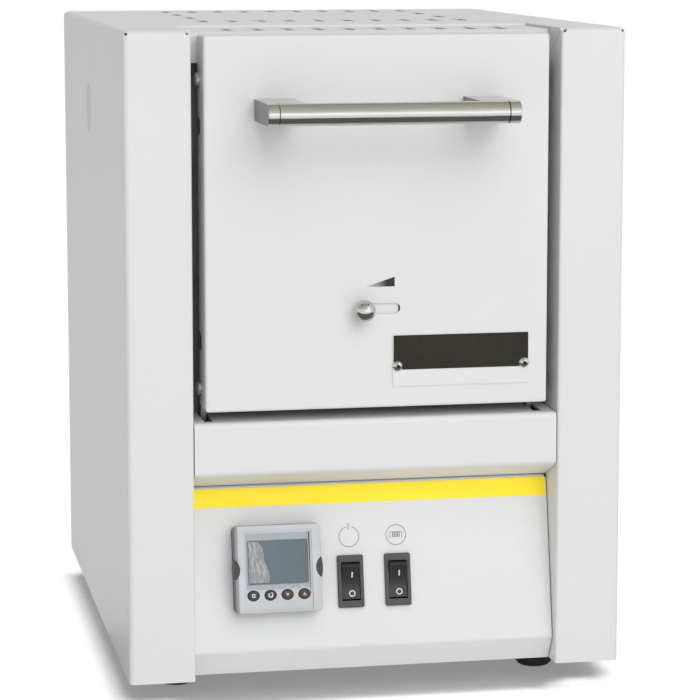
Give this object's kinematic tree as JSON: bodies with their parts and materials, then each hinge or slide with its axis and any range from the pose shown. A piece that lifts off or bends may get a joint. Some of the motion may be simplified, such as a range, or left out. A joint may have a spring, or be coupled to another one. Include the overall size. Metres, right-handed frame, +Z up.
{
  "type": "preheating furnace",
  "caption": "Bench preheating furnace with a flap door, bar handle, air slider, slanted control panel and a fibre-lined chamber heated by quartz tubes.",
  "frame": {"origin": "on the floor, under the middle of the whole furnace with its handle", "axes": "+X to the right as the user faces the door, +Y from the door to the rear panel, +Z up"},
  "size_m": [0.275, 0.392, 0.37],
  "materials": {
    "painted_casing": "fine textured powder coat, warm grey-white",
    "painted_door": "fine textured powder coat, cool grey-white",
    "painted_panel": "fine textured powder coat",
    "galvanised": "galvanised sheet",
    "dark_steel": "heat-darkened stainless sheet",
    "steel": "brushed stainless steel",
    "grey_metal": "satin zinc die casting",
    "chrome": "polished chrome",
    "screw": "zinc-plated steel",
    "rubber": "black rubber",
    "fibre": "white ceramic fibre board",
    "ceramic": "unglazed ceramic",
    "quartz": "clear quartz",
    "coil": "oxidised heating wire",
    "brass": "plain brass",
    "yellow_film": "printed yellow film",
    "plug_plastic": "grey-green plastic",
    "black_plastic": "moulded black plastic",
    "bezel_plastic": "silver-grey moulded plastic",
    "window": "dark display window",
    "plate_black": "black enamelled plate",
    "grey_plastic": "grey moulded plastic",
    "wire": "silicone-covered wire",
    "magnet": "nickel-plated magnet"
  },
  "bodies": {
    "casing": {"casing_shell": "painted_casing", "side_plug": "plug_plastic", "top_air_strip": "painted_casing", "rear_panel": "painted_casing", "casing_screws": "screw", "base_plate": "galvanised", "rubber_feet": "rubber", "ledge": "painted_door", "control_panel": "painted_panel", "panel_stripe": "yellow_film", "inner_housing": "galvanised", "housing_rails": "galvanised", "chamber_front_plate": "dark_steel", "insulation_floor": "fibre", "insulation_roof": "fibre", "insulation_sides": "fibre", "insulation_rear": "fibre", "hearth_plate": "ceramic", "quartz_tubes": "quartz", "heating_coils": "coil", "heater_terminals": "ceramic", "exhaust_tube": "steel", "thermocouple": "ceramic", "hinge_brackets": "galvanised", "hinge_pins": "steel", "reed_switch": "black_plastic", "controller_gasket": "rubber", "controller_bezel": "bezel_plastic", "controller_case": "black_plastic", "controller_window": "window", "rocker_housings": "black_plastic", "switch_blades": "brass", "power_inlet": "black_plastic", "inlet_contacts": "brass", "inlet_screws": "screw", "fuse_holder": "black_plastic", "solid_state_relay": "grey_plastic", "terminal_block": "grey_plastic", "wiring_loom": "wire"},
    "door": {"door_shell": "painted_door", "door_pan": "dark_steel", "door_insulation": "fibre", "pan_screws": "screw", "door_screws": "screw", "hinge_arms": "steel", "hinge_bushes": "brass", "handle_tube": "steel", "handle_ends": "grey_metal", "slider_guides": "galvanised", "name_plate": "plate_black", "name_plate_screws": "chrome", "door_magnet": "magnet"},
    "air_slide": {"air_slider": "painted_panel", "slider_knob": "chrome"},
    "power_rocker": {"power_rocker": "black_plastic"},
    "heating_rocker": {"heating_rocker": "black_plastic"},
    "page_button": {"page_button": "black_plastic"},
    "cycle_button": {"cycle_button": "black_plastic"},
    "down_button": {"down_button": "black_plastic"},
    "up_button": {"up_button": "black_plastic"}
  },
  "joints": [
    {"name": "door_hinge", "type": "hinge", "parent": "casing", "child": "door", "pos_m": [0, -0.136, 0.1446], "axis": [1, 0, 0], "range_deg": [0, 90]},
    {"name": "air_slide_travel", "type": "slide", "parent": "door", "child": "air_slide", "axis": [1, 0, 0], "range_m": [0, 0.0184]},
    {"name": "power_rocker_tilt", "type": "hinge", "parent": "casing", "child": "power_rocker", "pos_m": [-0.013, -0.13557, 0.06515], "axis": [-1, 0, 0], "range_deg": [0, 20]},
    {"name": "heating_rocker_tilt", "type": "hinge", "parent": "casing", "child": "heating_rocker", "pos_m": [0.0136, -0.13557, 0.06515], "axis": [-1, 0, 0], "range_deg": [0, 20]},
    {"name": "page_button_press", "type": "slide", "parent": "casing", "child": "page_button", "axis": [0, 0.9817, -0.1902], "range_m": [0, 0.0006], "stiffness_N_per_m": 600},
    {"name": "cycle_button_press", "type": "slide", "parent": "casing", "child": "cycle_button", "axis": [0, 0.9817, -0.1902], "range_m": [0, 0.0006], "stiffness_N_per_m": 600},
    {"name": "down_button_press", "type": "slide", "parent": "casing", "child": "down_button", "axis": [0, 0.9817, -0.1902], "range_m": [0, 0.0006], "stiffness_N_per_m": 600},
    {"name": "up_button_press", "type": "slide", "parent": "casing", "child": "up_button", "axis": [0, 0.9817, -0.1902], "range_m": [0, 0.0006], "stiffness_N_per_m": 600}
  ]
}
